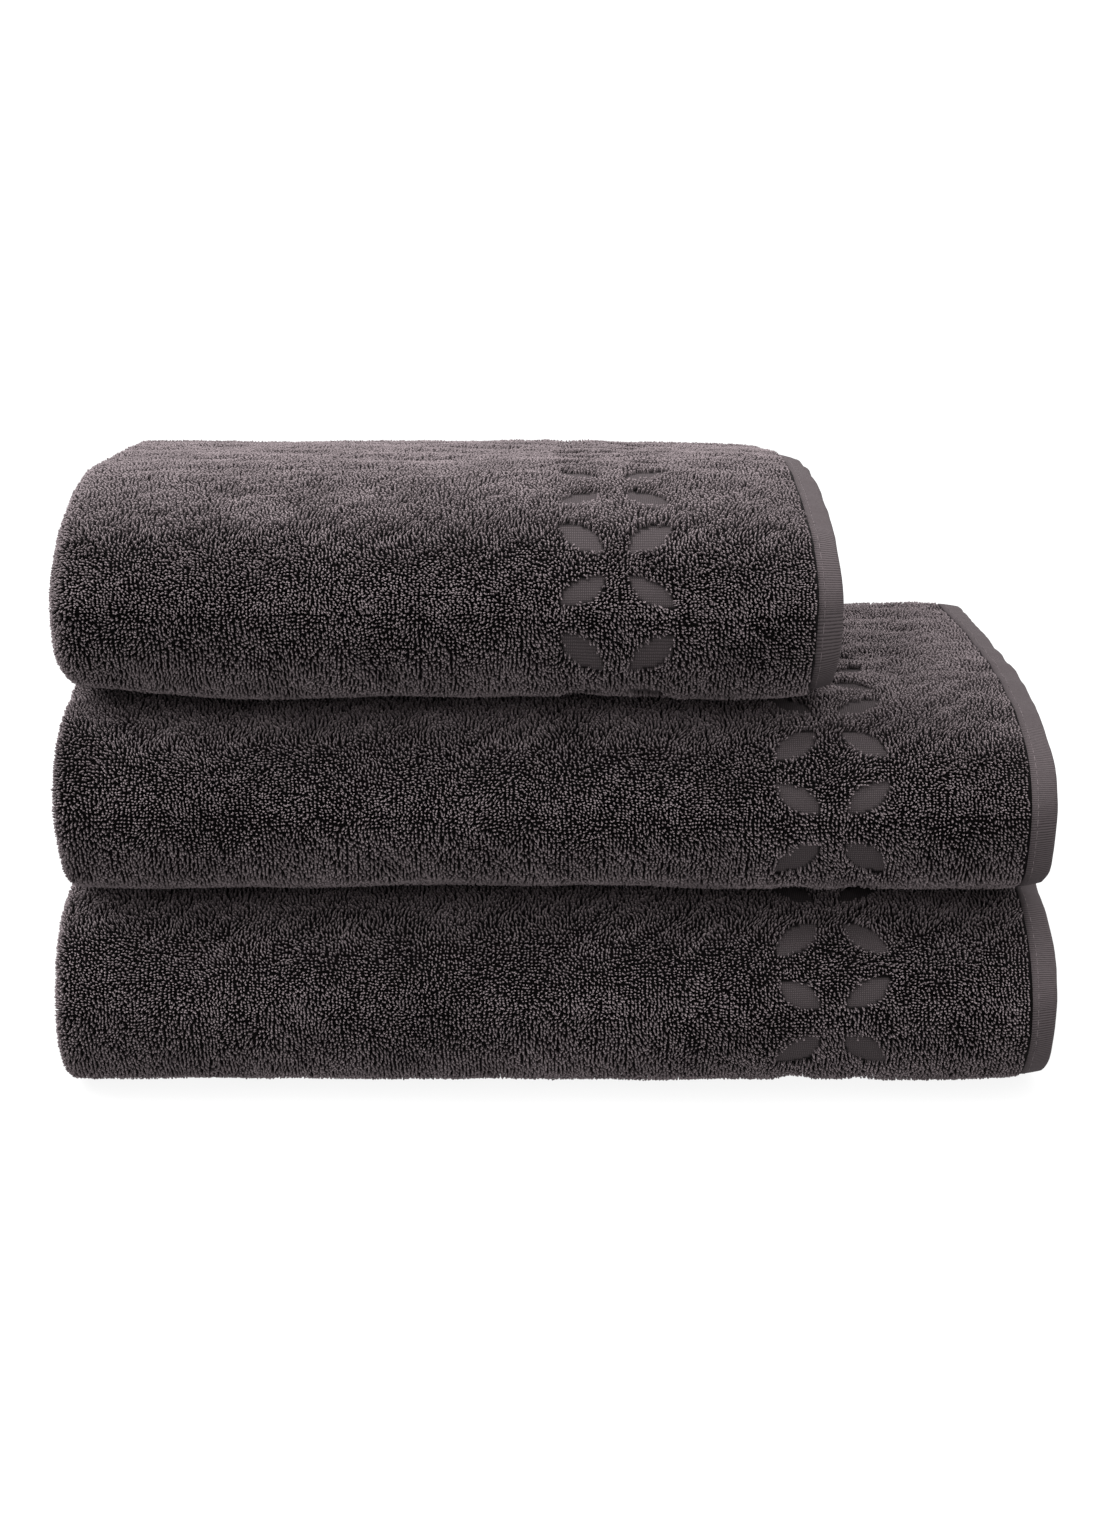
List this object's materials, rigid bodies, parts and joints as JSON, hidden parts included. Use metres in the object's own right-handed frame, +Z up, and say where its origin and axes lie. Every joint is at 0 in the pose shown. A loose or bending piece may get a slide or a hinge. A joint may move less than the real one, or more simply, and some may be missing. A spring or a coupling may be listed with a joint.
{
  "type": "bath towel set",
  "caption": "Folded terry bath towels stacked with a smaller hand towel on top, each hemmed all round, with the upper towels free to lift off.",
  "frame": {"origin": "middle of the stack's footprint, on the surface it stands on", "axes": "+X to the right, towards the towels' hemmed ends, +Y to the back, towards their open edges, +Z up; the round folded noses face -Y"},
  "size_m": [0.3498, 0.2574, 0.2176],
  "materials": {
    "terry_cotton": "looped cotton terry pile, charcoal with a warm purple tint, matt, with pile-free woven leaf shapes in a border",
    "hem_cotton": "flat ribbed cotton weave turned over and stitched, charcoal, matt"
  },
  "bodies": {
    "bottom_towel": {"bottom_towel_terry_cloth": "terry_cotton", "bottom_towel_outer_end_hem": "hem_cotton", "bottom_towel_inner_end_hem": "hem_cotton", "bottom_towel_upper_side_hem": "hem_cotton", "bottom_towel_tucked_side_hem": "hem_cotton"},
    "middle_towel": {"middle_towel_terry_cloth": "terry_cotton", "middle_towel_outer_end_hem": "hem_cotton", "middle_towel_inner_end_hem": "hem_cotton", "middle_towel_upper_side_hem": "hem_cotton", "middle_towel_tucked_side_hem": "hem_cotton"},
    "top_towel": {"top_towel_terry_cloth": "terry_cotton", "top_towel_outer_end_hem": "hem_cotton", "top_towel_inner_end_hem": "hem_cotton", "top_towel_upper_side_hem": "hem_cotton", "top_towel_lower_side_hem": "hem_cotton"}
  },
  "joints": [
    {"name": "middle_towel_lift", "type": "slide", "parent": "bottom_towel", "child": "middle_towel", "axis": [0, 0, 1], "range_m": [0, 0.12]},
    {"name": "top_towel_lift", "type": "slide", "parent": "middle_towel", "child": "top_towel", "axis": [0, 0, 1], "range_m": [0, 0.12]}
  ]
}
